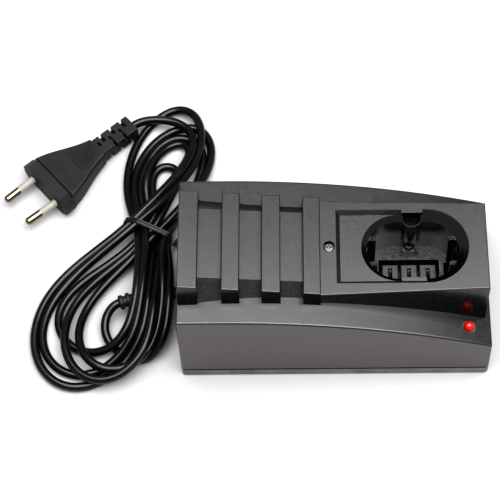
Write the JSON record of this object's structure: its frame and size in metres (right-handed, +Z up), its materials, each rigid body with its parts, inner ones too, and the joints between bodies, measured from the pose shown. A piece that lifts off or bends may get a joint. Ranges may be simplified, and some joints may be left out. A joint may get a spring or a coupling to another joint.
{
  "type": "power tool battery charger",
  "caption": "Desktop charger for pod-type tool batteries: ridged sloping housing with an upright battery pocket, a status light, and a tied mains lead with a flat two-pin plug.",
  "frame": {"origin": "on the surface the charger stands on, under the middle of its housing", "axes": "+X along the housing from the ridged end, where the lead leaves, to the battery pocket; +Y to the back, away from the status light; +Z up"},
  "size_m": [0.2425, 0.1663, 0.065],
  "materials": {
    "housing": "fine grained",
    "base": "fine grained",
    "terminal_plastic": "smooth matte",
    "contact_copper": "bare copper alloy",
    "screw_steel": "dull",
    "led_red": "glossy, tinted",
    "tinned_wire": "tinned",
    "board": "solder mask",
    "iron": "varnished laminations",
    "strap_steel": "zinc plated",
    "bobbin_plastic": "smooth",
    "winding": "enamelled copper wire",
    "aluminium": "anodised",
    "epoxy": "moulded",
    "capacitor_sleeve": "shrunk sleeve",
    "fuse_glass": "clear",
    "resistor_body": "lacquered",
    "foot_rubber": "matte",
    "cord_pvc": "smooth, slightly shiny",
    "plug_pvc": "matte with fine grip lines",
    "pin_metal": "nickel plated",
    "sleeve_plastic": "smooth",
    "tie_plastic": "plastic over wire",
    "wire_insulation": "smooth"
  },
  "bodies": {
    "charger": {"top_shell": "housing", "base_shell": "base", "rubber_feet": "foot_rubber", "case_screws": "screw_steel", "top_screw": "screw_steel", "pocket_screw": "screw_steel", "terminal_block": "terminal_plastic", "terminal_pins": "tinned_wire", "circuit_board": "board", "board_screws": "screw_steel", "filter_capacitor": "capacitor_sleeve", "rectifier_diodes": "epoxy", "resistors": "resistor_body", "heat_sink": "aluminium", "thyristor": "epoxy", "fuse": "fuse_glass", "fuse_clips": "tinned_wire", "control_chip": "epoxy", "status_led": "led_red", "led_legs": "tinned_wire", "transformer_core": "iron", "transformer_bobbin": "bobbin_plastic", "primary_winding": "winding", "secondary_winding": "winding", "transformer_frame": "strap_steel", "mains_wires": "wire_insulation", "secondary_wires": "wire_insulation", "strain_relief_boot": "plug_pvc", "cord_inner_tail": "cord_pvc", "cord_clamp": "base", "clamp_screws": "screw_steel", "cord_lead_boot_side": "cord_pvc", "cord_lead_plug_side": "cord_pvc", "cord_hank": "cord_pvc", "twist_tie": "tie_plastic", "plug_body": "plug_pvc", "plug_pins": "pin_metal", "pin_sleeves": "sleeve_plastic"},
    "contact_left": {"contact_left": "contact_copper"},
    "contact_centre": {"contact_centre": "contact_copper"},
    "contact_right": {"contact_right": "contact_copper"}
  },
  "joints": [
    {"name": "contact_left_flex", "type": "hinge", "parent": "charger", "child": "contact_left", "pos_m": [0.0274, -0.0035, 0.0126], "axis": [1, 0, 0], "range_deg": [0, 6], "stiffness_Nm_per_rad": 0.19},
    {"name": "contact_centre_flex", "type": "hinge", "parent": "charger", "child": "contact_centre", "pos_m": [0.0365, -0.0035, 0.0126], "axis": [1, 0, 0], "range_deg": [0, 6], "stiffness_Nm_per_rad": 0.19},
    {"name": "contact_right_flex", "type": "hinge", "parent": "charger", "child": "contact_right", "pos_m": [0.0456, -0.0035, 0.0126], "axis": [1, 0, 0], "range_deg": [0, 6], "stiffness_Nm_per_rad": 0.19}
  ]
}
